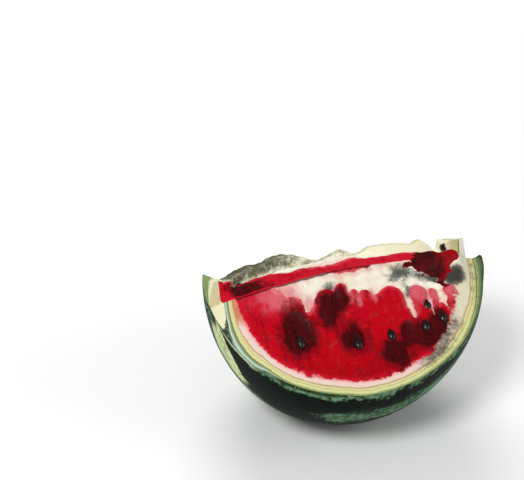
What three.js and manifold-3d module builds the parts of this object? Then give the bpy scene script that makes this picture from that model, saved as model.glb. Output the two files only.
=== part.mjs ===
// A cut wedge of watermelon that rests on its rind, with its two cut faces meeting in a ridge on top.
// The front face is a clean cut. The back has been eaten out, so that its rind stands as a ragged lip.
// Millimetres: X runs along the ridge, the front face looks towards -Y, and the floor is Z = 0.
// A point of a face is given by its station, the angle round from the right end of the ridge to the left,
// and its share, how much of the way from the ridge to the rim it has gone.
import * as THREE from 'three';
import { mergeVertices } from 'three/addons/utils/BufferGeometryUtils.js';
import Module from 'manifold-3d';

const wasm = await Module();
wasm.setup();

const { clamp, degToRad, lerp, radToDeg, smoothstep } = THREE.MathUtils;

// The melon that the wedge was cut from, round about the X axis and fullest a little left of its middle
const MELON_RADIUS = 120;
const MELON_HALF_LENGTH = 118;
const GIRTH_SHIFT = 7;
const NOSE_LENGTH = 2.8;
const NOSE_HALF_WIDTH = 14;
const RIND_THICKNESS = 15;
const RESTING_FLAT_DEPTH = 1.2;

// The ridge and the two cuts that fall away from it
const RIDGE_FORWARD = 17;
const RIDGE_ABOVE_CENTRE = 7;
const RIDGE_TILT = degToRad(3);
const RIDGE_ARCH = 13;
const RIDGE_ARCH_LEAN = 0.2;
const FRONT_SLOPE = degToRad(27);
const BACK_SLOPE = degToRad(16);

// The eaten back: a crest of flesh along the ridge, then a trough of scoops in front of the standing rind
const CREST_SWELL = 4;
const CREST_SHARE = 0.3;
const TROUGH_DEPTH = 12;
const TROUGH_START_RIGHT = 0.5;
const TROUGH_START_LEFT = 0.85;
const TROUGH_EASE = 0.15;
const SCOOP_SPACING = 38;
const SCOOP_SHARE = 0.05;
const RIND_WALL_FOOT = 3;
const LEAST_FLESH_SHARE = 0.2;

// The ragged rim of the standing rind, in degrees round from the right end of the ridge
const FIN_RIGHT = [23, 24.5];
const FIN_LEFT = [33, 35.2];
const FIN_HEIGHT_RIGHT = 15.6;
const FIN_HEIGHT_LEFT = 8.7;
const FIN_LEAN = 6;
const HORN_ANGLE = 157;
const HORN_HALF_WIDTH = 24;
const HORN_HEIGHT = 19;
// Peaks and dips of the torn rim: middle and half width in degrees, then height
const RIM_TEARS = [
  [3, 5, 2],
  [19, 17, -7],
  [36.5, 3.5, -3],
  [42.5, 5, 6],
  [54, 16, 2.5],
  [69, 6, -4.5],
  [83.5, 9, -7],
  [101, 12, 5],
  [118, 12, 3],
];

// Torn flesh that stands up on the ridge near its right end
const LUMP_X = 94;
const LUMP_HALF_LENGTH = 20;
const LUMP_HALF_WIDTH = 30;
const LUMP_HEIGHT = 7;
const LUMP_ROUGHNESS = 0.45;
const LUMP_WAVELENGTH = 20.5;

// Flesh left standing at the back of the left end, beside the horn
const TIP_ANGLE = 147;
const TIP_HALF_WIDTH = 9;
const TIP_SHARE = 0.2;
const TIP_HALF_SHARE = 0.2;
const TIP_HEIGHT = 11;

// The hollow under the ridge in front, with lobes of flesh along its lower edge
const HOLLOW_X = 29;
const HOLLOW_HALF_LENGTH = 95;
const HOLLOW_DEPTH = 5;
const HOLLOW_SHARE = 0.22;
const HOLLOW_EDGE = 0.05;
const HOLLOW_TOP_LEFT = 0.12;
const LOBE_SPACING = 21;

// Seeds: those of the front and one on the fin are placed in degrees and share, those of the back by a rule
const SEED_LENGTH = 11;
const SEED_WIDTH = 7;
const SEED_THICKNESS = 4.5;
const FRONT_SEEDS = [
  [115, 0.54],
  [90.5, 0.6],
  [76, 0.59],
  [60, 0.62],
  [57, 0.45],
  [50.5, 0.62],
];
const FIN_SEED = [34, 0.6];
const FIN_SEED_TURN = degToRad(70);
const BACK_SEED_COUNT = 14;
const BACK_SEED_STATIONS = [35, 140];
const BACK_SEED_SHARES = [0.45, 0.7];
const GOLDEN_SHARE = 0.618;

// How finely the surface is split
const STATIONS = 72;
const FRONT_STEPS = 16;
const FRONT_CROWDING = 1.5;
const SKIN_STEPS = 24;
const RIND_STEPS = 3;
const WALL_STEPS = 2;
const BACK_STEPS = 13;

const CENTRE = new THREE.Vector3(GIRTH_SHIFT, 0, MELON_RADIUS - RESTING_FLAT_DEPTH);
const RIDGE_MIDDLE = CENTRE.clone().add(new THREE.Vector3(0, -RIDGE_FORWARD, RIDGE_ABOVE_CENTRE));
const RIDGE_DIRECTION = new THREE.Vector3(Math.cos(RIDGE_TILT), 0, Math.sin(RIDGE_TILT));
const FRONT_ANGLE = Math.PI / 2 - FRONT_SLOPE;
const BACK_ANGLE = BACK_SLOPE - Math.PI / 2;

// A smooth hill: 1 at its centre, 0 from its half width on
function hill(value, centre, halfWidth) {
  const away = Math.abs(value - centre) / halfWidth;
  return away < 1 ? (1 - away * away) ** 2 : 0;
}

function wave(value, wavelength) {
  return Math.cos((2 * Math.PI * value) / wavelength);
}

// The unit direction square to the ridge, turned from straight down towards the front
function sweep(angle) {
  return new THREE.Vector3(0, -Math.sin(angle), -Math.cos(angle));
}

// How far along a line the melon, or its flesh at an inset, is left behind: 0 if the line misses it
function exitDistance(start, direction, inset) {
  const size = new THREE.Vector3(MELON_HALF_LENGTH, MELON_RADIUS, MELON_RADIUS).subScalar(inset);
  const from = start.clone().sub(CENTRE).divide(size);
  const along = direction.clone().divide(size);
  const a = along.dot(along);
  const b = from.dot(along);
  const root = b * b - a * (from.dot(from) - 1);
  return root > 0 ? Math.max(0, (Math.sqrt(root) - b) / a) : 0;
}

const RIDGE_RIGHT = exitDistance(RIDGE_MIDDLE, RIDGE_DIRECTION, 0);
const RIDGE_LEFT = exitDistance(RIDGE_MIDDLE, RIDGE_DIRECTION.clone().negate(), 0);

// How far a station is moved along the melon: its girth leans to the left, and its right end has a low nose
function alongMelon(station) {
  return NOSE_LENGTH * hill(radToDeg(station), 0, NOSE_HALF_WIDTH) - GIRTH_SHIFT * Math.sin(station) ** 2;
}

// A point of the melon's skin at a station, swept round from straight down by an angle
function skinPoint(station, angle) {
  const direction = sweep(angle).multiplyScalar(Math.sin(station));
  direction.addScaledVector(RIDGE_DIRECTION, Math.cos(station));
  const point = RIDGE_MIDDLE.clone().addScaledVector(direction, exitDistance(RIDGE_MIDDLE, direction, 0));
  point.x += alongMelon(station);
  return point;
}

// The ridge climbs from left to right and arches up between its ends
function ridgePoint(station) {
  const along = lerp(-RIDGE_LEFT, RIDGE_RIGHT, (1 + Math.cos(station)) / 2);
  const point = RIDGE_MIDDLE.clone().addScaledVector(RIDGE_DIRECTION, along);
  point.x += alongMelon(station);
  point.z += RIDGE_ARCH * Math.sin(station) ** 2 * (1 + RIDGE_ARCH_LEAN * Math.cos(station));
  return point;
}

// How fully the fin stands at a station, and how far across it that lies, from right to left
function finAt(station) {
  const degrees = radToDeg(station);
  const standing = smoothstep(degrees, ...FIN_RIGHT) * (1 - smoothstep(degrees, ...FIN_LEFT));
  const across = clamp((degrees - FIN_RIGHT[1]) / (FIN_LEFT[0] - FIN_RIGHT[1]), 0, 1);
  return { standing, across };
}

// How far the standing rind rises above the straight cut: a fin between two notches at the right,
// a low horn at the left and torn peaks and dips between
function rimRise(station) {
  const degrees = radToDeg(station);
  const fin = finAt(station);
  let rise = fin.standing * lerp(FIN_HEIGHT_RIGHT, FIN_HEIGHT_LEFT, fin.across);
  rise += HORN_HEIGHT * hill(degrees, HORN_ANGLE, HORN_HALF_WIDTH);
  for (const [middle, halfWidth, height] of RIM_TEARS) {
    rise += height * hill(degrees, middle, halfWidth);
  }
  return rise;
}

// The angle at which the skin reaches the ragged back rim
function backRimAngle(station) {
  const reach = skinPoint(station, BACK_ANGLE).distanceTo(ridgePoint(station));
  return BACK_ANGLE - rimRise(station) / reach;
}

// The height of the torn flesh at a point of either face, so far beside the ridge
function lump(point, beside) {
  const rough = 1 + LUMP_ROUGHNESS * wave(point.x, LUMP_WAVELENGTH);
  const outline = hill(point.x, LUMP_X, LUMP_HALF_LENGTH) * hill(beside, 0, LUMP_HALF_WIDTH);
  return LUMP_HEIGHT * rough * outline;
}

// The height of the flesh left standing at the left end
function tip(station, share) {
  const alongRidge = hill(radToDeg(station), TIP_ANGLE, TIP_HALF_WIDTH);
  return TIP_HEIGHT * alongRidge * hill(share, TIP_SHARE, TIP_HALF_SHARE);
}

// The depth of the hollow under the ridge, steep at its top edge, which dips towards the left end
function hollow(x, share) {
  const reach = HOLLOW_SHARE * (1 - 0.2 * wave(x, LOBE_SPACING));
  const top = HOLLOW_TOP_LEFT * smoothstep(-x, 0, MELON_HALF_LENGTH);
  const below = smoothstep(share, top, top + HOLLOW_EDGE);
  const above = 1 - smoothstep(share, top + 0.4 * reach, top + reach);
  return HOLLOW_DEPTH * below * above * hill(x, HOLLOW_X, HOLLOW_HALF_LENGTH);
}

function frontPoint(station, share) {
  const ridge = ridgePoint(station);
  const point = ridge.clone().lerp(skinPoint(station, FRONT_ANGLE), share);
  const out = sweep(FRONT_ANGLE + Math.PI / 2);
  return point.addScaledVector(out, lump(point, point.distanceTo(ridge)) - hollow(point.x, share));
}

// The shares at which the inside of the standing rind starts to rise, and at which it reaches its top
function rindWall(station) {
  const ridge = ridgePoint(station);
  const toRim = skinPoint(station, BACK_ANGLE).sub(ridge);
  const top = clamp(exitDistance(ridge, toRim, RIND_THICKNESS), LEAST_FLESH_SHARE, 1);
  const foot = Math.max(0.7 * top, top - RIND_WALL_FOOT / toRim.length());
  return { foot, top };
}

// How much higher the fin's torn top stands inside than outside, most at its right end
function finLean(station, share, wallTop) {
  const fin = finAt(station);
  const outward = clamp((share - wallTop) / (1 - wallTop), 0, 1);
  return FIN_LEAN * fin.standing * (1 - fin.across ** 2) * (1 - outward);
}

// The share at which the crest of flesh falls into the trough: late on the left, wavy where it was scooped
function troughStart(station, x) {
  const leftness = smoothstep(-Math.cos(station), 0, 1);
  const start = lerp(TROUGH_START_RIGHT, TROUGH_START_LEFT, leftness) * rindWall(station).top;
  return start + SCOOP_SHARE * wave(x, SCOOP_SPACING);
}

// The crest swells, drops into the trough and climbs the inside of the standing rind to its ragged rim
function backPoint(station, share) {
  const rim = skinPoint(station, BACK_ANGLE);
  const ridge = ridgePoint(station);
  const point = ridge.clone().lerp(rim, share);
  const wall = rindWall(station);
  const onWall = smoothstep(share, wall.foot, wall.top);
  const start = troughStart(station, point.x);
  const inTrough = smoothstep(share, start - TROUGH_EASE, start + TROUGH_EASE) * (1 - onWall);
  const swell = CREST_SWELL * hill(share, CREST_SHARE, CREST_SHARE);
  const toRaggedRim = skinPoint(station, backRimAngle(station)).sub(rim);
  const torn = lerp(tip(station, share), finLean(station, share, wall.top), onWall);
  const standing = lump(point, point.distanceTo(ridge)) + torn;
  point.z += (swell - TROUGH_DEPTH * inTrough) * Math.sin(station) + standing;
  return point.addScaledVector(toRaggedRim, onWall);
}

// The shares at which the back face is sampled, from the rim in to the ridge, close together at the wall
function backShares(station) {
  const wall = rindWall(station);
  const shares = [];
  for (let i = 0; i < RIND_STEPS; i += 1) {
    shares.push(lerp(1, wall.top, i / RIND_STEPS));
  }
  for (let i = 0; i < WALL_STEPS; i += 1) {
    shares.push(lerp(wall.top, wall.foot, i / WALL_STEPS));
  }
  for (let i = 0; i < BACK_STEPS; i += 1) {
    shares.push(lerp(wall.foot, 0, i / BACK_STEPS));
  }
  return shares;
}

// One closed loop round the wedge at a station: down the front face, round the skin and up the back
function loopAt(station) {
  const loop = [];
  for (let i = 0; i < FRONT_STEPS; i += 1) {
    loop.push(frontPoint(station, (i / FRONT_STEPS) ** FRONT_CROWDING));
  }
  for (let i = 0; i < SKIN_STEPS; i += 1) {
    loop.push(skinPoint(station, lerp(FRONT_ANGLE, backRimAngle(station), i / SKIN_STEPS)));
  }
  for (const share of backShares(station)) {
    loop.push(backPoint(station, share));
  }
  return loop;
}

// A closed surface over the loops, with a fan of triangles at each end of the ridge
function loftGeometry(loops, rightEnd, leftEnd) {
  const count = loops[0].length;
  const points = [rightEnd, ...loops.flat(), leftEnd];
  const lastLoop = loops.length - 1;
  const lastPoint = points.length - 1;
  const at = (loop, i) => 1 + loop * count + (i % count);
  const triangles = [];
  for (let i = 0; i < count; i += 1) {
    triangles.push(0, at(0, i), at(0, i + 1));
    for (let loop = 0; loop < lastLoop; loop += 1) {
      triangles.push(at(loop, i), at(loop + 1, i), at(loop + 1, i + 1));
      triangles.push(at(loop, i), at(loop + 1, i + 1), at(loop, i + 1));
    }
    triangles.push(lastPoint, at(lastLoop, i + 1), at(lastLoop, i));
  }
  return new THREE.BufferGeometry().setFromPoints(points).setIndex(triangles);
}

function wedgeGeometry() {
  const loops = [];
  for (let i = 1; i < STATIONS; i += 1) {
    loops.push(loopAt((Math.PI * i) / STATIONS));
  }
  return loftGeometry(loops, skinPoint(0, 0), skinPoint(Math.PI, 0));
}

// A seed: a flat drop, narrow at its +X end
function seedGeometry() {
  const geometry = new THREE.SphereGeometry(1, 6, 4).rotateZ(-Math.PI / 2);
  const places = geometry.getAttribute('position');
  for (let i = 0; i < places.count; i += 1) {
    const taper = 1 - 0.45 * smoothstep(places.getX(i), -0.2, 1);
    places.setY(i, places.getY(i) * taper);
  }
  return geometry.scale(SEED_LENGTH / 2, SEED_WIDTH / 2, SEED_THICKNESS / 2);
}

// A seed half sunk in a face, its narrow end towards the ridge or turned from there
function seedIn(facePoint, degrees, share, turn = 0) {
  const nearby = 0.005;
  const station = degToRad(degrees);
  const here = facePoint(station, share);
  const up = facePoint(station, share - nearby).sub(here).normalize();
  const along = facePoint(station - nearby, share).sub(here).normalize();
  const out = up.clone().cross(along).normalize();
  if (out.z < 0) {
    out.negate();
  }
  const across = out.clone().cross(up);
  const place = new THREE.Matrix4().makeBasis(up, across, out).setPosition(here);
  return seedGeometry().rotateZ(turn).applyMatrix4(place);
}

// The seeds of the back stand in an even row of stations, and a golden share scatters them up and down
function backSeeds() {
  const seeds = [];
  for (let i = 0; i < BACK_SEED_COUNT; i += 1) {
    const degrees = lerp(BACK_SEED_STATIONS[0], BACK_SEED_STATIONS[1], (i + 0.5) / BACK_SEED_COUNT);
    const share = lerp(BACK_SEED_SHARES[0], BACK_SEED_SHARES[1], (i * GOLDEN_SHARE) % 1);
    seeds.push([degrees, share]);
  }
  return seeds;
}

// Everything below the floor, which leaves the small flat that the wedge rests on
function belowFloorGeometry() {
  const size = 2 * MELON_RADIUS;
  return new THREE.BoxGeometry(size, size, size).translate(0, 0, -size / 2);
}

function solidFrom(geometry) {
  geometry.deleteAttribute('normal');
  geometry.deleteAttribute('uv');
  const merged = mergeVertices(geometry);
  return new wasm.Manifold(
    new wasm.Mesh({
      numProp: 3,
      vertProperties: merged.getAttribute('position').array,
      triVerts: new Uint32Array(merged.index.array),
    }),
  );
}

function geometryFrom(solid) {
  const mesh = solid.getMesh();
  const geometry = new THREE.BufferGeometry();
  geometry.setAttribute('position', new THREE.BufferAttribute(mesh.vertProperties, 3));
  geometry.setIndex(new THREE.BufferAttribute(mesh.triVerts, 1));
  geometry.computeVertexNormals();
  return geometry;
}

function wedgeSolid() {
  let solid = solidFrom(wedgeGeometry());
  for (const [degrees, share] of FRONT_SEEDS) {
    solid = solid.add(solidFrom(seedIn(frontPoint, degrees, share)));
  }
  for (const [degrees, share] of backSeeds()) {
    solid = solid.add(solidFrom(seedIn(backPoint, degrees, share)));
  }
  solid = solid.add(solidFrom(seedIn(backPoint, ...FIN_SEED, FIN_SEED_TURN)));
  return solid.subtract(solidFrom(belowFloorGeometry()));
}

const flesh = new THREE.MeshStandardMaterial({ color: 0xc0121f, roughness: 0.45, metalness: 0 });
const wedge = new THREE.Mesh(geometryFrom(wedgeSolid()), flesh);
wedge.name = 'watermelon_wedge';

const watermelon = new THREE.Group();
watermelon.add(wedge);

export default watermelon;
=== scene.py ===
# Dresses the cut watermelon wedge: moist red flesh, a pale hollow, banded rind, striped skin and seeds.
# The form follows the solid's own dimensions. Lengths are metres, written in millimetres times MM.
import math

import bpy
import numpy as np
from mathutils import Matrix, Vector


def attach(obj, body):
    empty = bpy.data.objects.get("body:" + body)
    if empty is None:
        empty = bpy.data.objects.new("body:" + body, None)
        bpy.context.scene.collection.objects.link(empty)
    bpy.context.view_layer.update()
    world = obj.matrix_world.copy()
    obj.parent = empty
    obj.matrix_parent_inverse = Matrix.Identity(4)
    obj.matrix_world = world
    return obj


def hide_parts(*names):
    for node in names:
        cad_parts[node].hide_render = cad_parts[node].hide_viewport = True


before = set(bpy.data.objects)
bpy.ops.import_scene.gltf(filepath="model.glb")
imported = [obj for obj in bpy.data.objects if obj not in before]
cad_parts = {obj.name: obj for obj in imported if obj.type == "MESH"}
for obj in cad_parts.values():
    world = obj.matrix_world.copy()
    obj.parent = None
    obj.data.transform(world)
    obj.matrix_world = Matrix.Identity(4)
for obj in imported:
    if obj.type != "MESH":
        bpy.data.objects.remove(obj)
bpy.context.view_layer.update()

MM = 0.001
NODE = "watermelon_wedge"
BODY = "root"

# The melon, its ridge and its two cuts, as in the solid
MELON_RADIUS = 120 * MM
MELON_HALF_LENGTH = 118 * MM
GIRTH_SHIFT = 7 * MM
NOSE_LENGTH = 2.8 * MM
NOSE_HALF_WIDTH = 14
RIND_THICKNESS = 15 * MM
RESTING_FLAT_DEPTH = 1.2 * MM
RIDGE_FORWARD = 17 * MM
RIDGE_ABOVE_CENTRE = 7 * MM
RIDGE_TILT = math.radians(3)
RIDGE_ARCH = 13 * MM
RIDGE_ARCH_LEAN = 0.2
FRONT_ANGLE = math.radians(90 - 27)
BACK_ANGLE = math.radians(16 - 90)

# The eaten back and its ragged rim, as in the solid
CREST_SWELL = 4 * MM
CREST_SHARE = 0.3
TROUGH_DEPTH = 12 * MM
TROUGH_START_RIGHT = 0.5
TROUGH_START_LEFT = 0.85
TROUGH_EASE = 0.15
SCOOP_SPACING = 38 * MM
SCOOP_SHARE = 0.05
RIND_WALL_FOOT = 3 * MM
LEAST_FOOT_SHARE = 0.7
LEAST_FLESH_SHARE = 0.2
FIN_RIGHT = (23, 24.5)
FIN_LEFT = (33, 35.2)
FIN_HEIGHT_RIGHT = 15.6 * MM
FIN_HEIGHT_LEFT = 8.7 * MM
FIN_LEAN = 6 * MM
HORN_ANGLE = 157
HORN_HALF_WIDTH = 24
HORN_HEIGHT = 19 * MM
# Peaks and dips of the torn rim: middle and half width in degrees, then height in millimetres
RIM_TEARS = [
    (3, 5, 2), (19, 17, -7), (36.5, 3.5, -3), (42.5, 5, 6), (54, 16, 2.5),
    (69, 6, -4.5), (83.5, 9, -7), (101, 12, 5), (118, 12, 3),
]

# The torn lump, the tip left standing at the left and the hollow of the front, as in the solid
LUMP_X = 94 * MM
LUMP_HALF_LENGTH = 20 * MM
LUMP_HALF_WIDTH = 30 * MM
LUMP_HEIGHT = 7 * MM
LUMP_ROUGHNESS = 0.45
LUMP_WAVELENGTH = 20.5 * MM
TIP_ANGLE = 147
TIP_HALF_WIDTH = 9
TIP_SHARE = 0.2
TIP_HALF_SHARE = 0.2
TIP_HEIGHT = 11 * MM
HOLLOW_X = 29 * MM
HOLLOW_HALF_LENGTH = 95 * MM
HOLLOW_DEPTH = 5 * MM
HOLLOW_EDGE = (0.5 * MM, 5 * MM)

# The seeds, as in the solid: degrees round from the right end, and share of the way to the rim
SEED_LENGTH = 11 * MM
SEED_WIDTH = 7 * MM
SEED_THICKNESS = 4.5 * MM
FRONT_SEEDS = [(115, 0.54), (90.5, 0.6), (76, 0.59), (60, 0.62), (57, 0.45), (50.5, 0.62)]
FIN_SEED = (34, 0.6)
FIN_SEED_TURN = math.radians(70)
BACK_SEED_COUNT = 14
BACK_SEED_STATIONS = (35, 140)
BACK_SEED_SHARES = (0.45, 0.7)
GOLDEN_SHARE = 0.618

# The lobes of flesh below the hollow, in millimetres: place along X, top below the ridge, half width
LOBES = [
    (-46, 12, 10), (-17, 13.5, 10), (-3, 11.6, 6), (6.7, 18.6, 3.5), (15.5, 20.6, 6),
    (36, 20, 11.5), (46, 41, 4), (60, 24, 7), (72, 28, 3.5), (88, 25, 6),
]
# Stained flesh round the seeds, in millimetres: place along X, below the ridge, half width, half height
STAINS = [
    (-46, 46, 22, 36), (-18, 33, 15, 28), (-5, 27, 10, 17), (-2, 62, 17, 24),
    (29, 81, 20, 22), (57, 70, 27, 20), (72, 57, 14, 14), (40, 62, 8, 11),
]
# Paler flesh, pale gaps between lobes, and painted grey shade in the hollow, with painted shadow beside
# the torn lump, given in the same way
BLUSHES = [(-52, 12, 31, 19), (60, 32, 12, 15), (73, 35, 7, 12), (88, 32, 9, 12)]
GAPS = [(-31, 24, 7, 16), (3, 25, 4, 12), (9, 31, 4, 10), (22, 28, 4, 13)]
SHADES = [
    (51, 9, 26, 13), (71, 14, 13, 10), (53, 26, 8, 13), (82, 18, 15, 9),
    (96, 18, 15, 14), (96, 17, 12, 12), (-11, 13, 12, 9),
]

# How finely the visible surface is split
STATIONS = 268
FRONT_STEPS = 160
SKIN_STEPS = 88
RIND_STEPS = 16
WALL_STEPS = 18
BACK_STEPS = 78
SHARP_ANGLE = math.radians(38)

# The photograph's camera
IMAGE_WIDTH = 524
IMAGE_HEIGHT = 480
FOCAL_PIXELS = 1182.5
SENSOR_WIDTH = 36
CAMERA_AZIMUTH = math.radians(16.2)
CAMERA_ELEVATION = math.radians(28.2)
CAMERA_DISTANCE = 1.00764
CENTRE_PIXEL = (342.2, 281.0)

CENTRE = np.array([GIRTH_SHIFT, 0, MELON_RADIUS - RESTING_FLAT_DEPTH])
MELON_SIZE = np.array([MELON_HALF_LENGTH, MELON_RADIUS, MELON_RADIUS])
RIDGE_MIDDLE = CENTRE + np.array([0, -RIDGE_FORWARD, RIDGE_ABOVE_CENTRE])
RIDGE_DIRECTION = np.array([math.cos(RIDGE_TILT), 0, math.sin(RIDGE_TILT)])

NOISE_GRID = 64
NOISE_SEED = 5
LATTICE = np.random.default_rng(NOISE_SEED).uniform(-1, 1, (NOISE_GRID, NOISE_GRID, NOISE_GRID))


# Small helpers

def smoothstep(value, low, high):
    part = np.clip((value - low) / (high - low), 0, 1)
    return part * part * (3 - 2 * part)


def blend(start, end, share):
    return start + (end - start) * share


def hill(value, centre, half_width):
    away = np.abs(value - centre) / half_width
    return np.where(away < 1, (1 - away**2) ** 2, 0)


def mound(across, down, place):
    """A round hill on a face, given in millimetres by its middle, half width and half height."""
    x, y, half_width, half_height = (size * MM for size in place)
    away = ((across - x) / half_width) ** 2 + ((down - y) / half_height) ** 2
    return np.where(away < 1, (1 - away) ** 2, 0)


def wave(value, wavelength):
    return np.cos(2 * math.pi * value / wavelength)


def length(vectors):
    return np.linalg.norm(vectors, axis=-1)


def unit(vector):
    return vector / np.linalg.norm(vector)


def noise(points, size):
    """Smooth noise from -1 to 1 whose lumps are about as wide as size."""
    place = points / size
    cell = np.floor(place).astype(int)
    part = place - cell
    part = part * part * (3 - 2 * part)
    total = np.zeros(points.shape[:-1])
    for corner in np.ndindex(2, 2, 2):
        weight = np.prod(np.where(corner, part, 1 - part), axis=-1)
        index = (cell + corner) % NOISE_GRID
        total += weight * LATTICE[index[..., 0], index[..., 1], index[..., 2]]
    return total


def grain(points, layers):
    """Layers of noise, each given by how wide and how high its lumps are."""
    return sum(height * noise(points, size) for size, height in layers)


# The solid's form

def sweep(angle):
    """The unit direction square to the ridge, turned from straight down towards the front."""
    angle = np.asarray(angle, float)
    return np.stack([0 * angle, -np.sin(angle), -np.cos(angle)], -1)


def exit_distance(start, direction, inset):
    """How far along a line the melon, or its flesh at an inset, is left behind."""
    size = MELON_SIZE - inset
    origin = (start - CENTRE) / size
    along = direction / size
    a = (along * along).sum(-1)
    b = (origin * along).sum(-1)
    root = b * b - a * ((origin * origin).sum(-1) - 1)
    return np.where(root > 0, np.maximum(0, (np.sqrt(np.maximum(root, 0)) - b) / a), 0)


RIDGE_RIGHT = exit_distance(RIDGE_MIDDLE, RIDGE_DIRECTION, 0)
RIDGE_LEFT = exit_distance(RIDGE_MIDDLE, -RIDGE_DIRECTION, 0)


def along_melon(station):
    """How far a station is moved along the melon: its girth leans left, its right end has a low nose."""
    nose = NOSE_LENGTH * hill(np.degrees(station), 0, NOSE_HALF_WIDTH)
    return nose - GIRTH_SHIFT * np.sin(station) ** 2


def skin_point(station, angle):
    direction = sweep(angle) * np.sin(station)[..., None] + RIDGE_DIRECTION * np.cos(station)[..., None]
    point = RIDGE_MIDDLE + direction * exit_distance(RIDGE_MIDDLE, direction, 0)[..., None]
    point[..., 0] += along_melon(station)
    return point


# A slight waver of the ridge
RIDGE_WAVER = [(15 * MM, 1 * MM)]


def ridge_point(station):
    along = blend(-RIDGE_LEFT, RIDGE_RIGHT, (1 + np.cos(station)) / 2)
    point = RIDGE_MIDDLE + RIDGE_DIRECTION * along[..., None]
    point[..., 0] += along_melon(station)
    point[..., 2] += RIDGE_ARCH * np.sin(station) ** 2 * (1 + RIDGE_ARCH_LEAN * np.cos(station))
    point[..., 2] += grain(point, RIDGE_WAVER) * np.sin(station)
    return point


def fin_at(station):
    """How fully the fin stands at a station, and how far across it that lies, from right to left."""
    degrees = np.degrees(station)
    standing = smoothstep(degrees, *FIN_RIGHT) * (1 - smoothstep(degrees, *FIN_LEFT))
    across = np.clip((degrees - FIN_RIGHT[1]) / (FIN_LEFT[0] - FIN_RIGHT[1]), 0, 1)
    return standing, across


def rim_rise(station):
    degrees = np.degrees(station)
    standing, across = fin_at(station)
    rise = standing * blend(FIN_HEIGHT_RIGHT, FIN_HEIGHT_LEFT, across)
    rise = rise + HORN_HEIGHT * hill(degrees, HORN_ANGLE, HORN_HALF_WIDTH)
    for middle, half_width, height in RIM_TEARS:
        rise = rise + height * MM * hill(degrees, middle, half_width)
    return rise


# Fine tears along the standing rim
FINE_TEARS = [(11 * MM, 1 * MM), (4 * MM, 0.8 * MM)]


def back_rim_angle(station):
    straight = skin_point(station, np.full_like(station, BACK_ANGLE))
    rise = rim_rise(station) + grain(straight, FINE_TEARS) * np.sin(station)
    return BACK_ANGLE - rise / length(straight - ridge_point(station))


def lump(point, beside):
    rough = 1 + LUMP_ROUGHNESS * wave(point[..., 0], LUMP_WAVELENGTH)
    outline = hill(point[..., 0], LUMP_X, LUMP_HALF_LENGTH) * hill(beside, 0, LUMP_HALF_WIDTH)
    return LUMP_HEIGHT * rough * outline


def tip(station, share):
    along_ridge = hill(np.degrees(station), TIP_ANGLE, TIP_HALF_WIDTH)
    return TIP_HEIGHT * along_ridge * hill(share, TIP_SHARE, TIP_HALF_SHARE)


def rind_wall(station):
    """The shares at which the inside of the standing rind starts to rise, and reaches its top."""
    ridge = ridge_point(station)
    to_rim = skin_point(station, np.full_like(station, BACK_ANGLE)) - ridge
    top = np.clip(exit_distance(ridge, to_rim, RIND_THICKNESS), LEAST_FLESH_SHARE, 1)
    foot = np.maximum(LEAST_FOOT_SHARE * top, top - RIND_WALL_FOOT / length(to_rim))
    return foot, top


def fin_lean(station, share, wall_top):
    """How much higher the fin's torn top stands inside than outside, most at its right end."""
    standing, across = fin_at(station)
    outward = np.clip((share - wall_top) / (1 - wall_top), 0, 1)
    return FIN_LEAN * standing * (1 - across**2) * (1 - outward)


def trough_start(station, x):
    leftness = smoothstep(-np.cos(station), 0, 1)
    start = blend(TROUGH_START_RIGHT, TROUGH_START_LEFT, leftness) * rind_wall(station)[1]
    return start + SCOOP_SHARE * wave(x, SCOOP_SPACING)


def rind_depth(point, station):
    """How deep a point lies below the melon's skin."""
    straight = point.copy()
    straight[..., 0] -= along_melon(station)
    return MELON_RADIUS * (1 - length((straight - CENTRE) / MELON_SIZE))


# The fields that colour and relief are worked out from

# How far below the ridge the flesh starts: where it falls away along X, how far and how it wavers
FLESH_TOP_LEFT = (-66 * MM, -36 * MM)
FLESH_TOP_RIGHT = (18 * MM, 48 * MM)
FLESH_TOP_MIDDLE = 27 * MM
FLESH_TOP_FALL = 20 * MM
FLESH_TOP_WAVER = 0.12
FLESH_TOP_WAVELENGTH = 17 * MM
# A thin stripe of flesh right under the ridge: its middle along X, half length, height and inset
UNDER_STRIPE = (6 * MM, 24 * MM, 4 * MM, 0.3 * MM)


def flesh_reach(x, down):
    """How far inside the red flesh a point of the front lies: below 0 it is in the pale hollow."""
    from_left = smoothstep(x, *FLESH_TOP_LEFT)
    top = FLESH_TOP_MIDDLE * from_left + FLESH_TOP_FALL * smoothstep(x, *FLESH_TOP_RIGHT)
    top = top * (1 + FLESH_TOP_WAVER * wave(x, FLESH_TOP_WAVELENGTH))
    reach = down - top + RIND_THICKNESS * (1 - from_left)
    for lobe in LOBES:
        place, lobe_top, half_width = (size * MM for size in lobe)
        above = np.minimum(down - lobe_top - half_width, 0)
        reach = np.maximum(reach, half_width - np.hypot(x - place, above))
    middle, half_length, height, inset = UNDER_STRIPE
    return np.maximum(reach, height * hill(x, middle, half_length) - down - inset)


# How far the red crest reaches behind the ridge, and the stations in degrees over which it widens
CREST_WIDTH = 30 * MM
CREST_WIDTH_LEFT = 80 * MM
CREST_WIDENS = (104, 132)
CREST_WAVER = [(16 * MM, 7 * MM)]


def crest_reach(point, station, beside):
    """How far inside the red crest a point of the back lies."""
    leftness = smoothstep(np.degrees(station), *CREST_WIDENS)
    width = blend(CREST_WIDTH, CREST_WIDTH_LEFT, leftness)
    return width + grain(point, CREST_WAVER) - beside


# The inner edges of the rind's bands, and how much deeper each lies towards the right and left ends
GREEN_BAND = 0.9 * MM
GREEN_BAND_LEFT = 2 * MM
GREEN_BAND_RIGHT = 4.2 * MM
GREEN_RIGHT = (0.7, 0.95)
YELLOW_BAND = 7 * MM
YELLOW_BAND_RIGHT = 3 * MM
YELLOW_RIGHT = (0.55, 0.85)
PALE_BAND = 12.6 * MM
PALE_BAND_RIGHT = 11 * MM
PALE_RIGHT = (0.45, 0.9)
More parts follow.
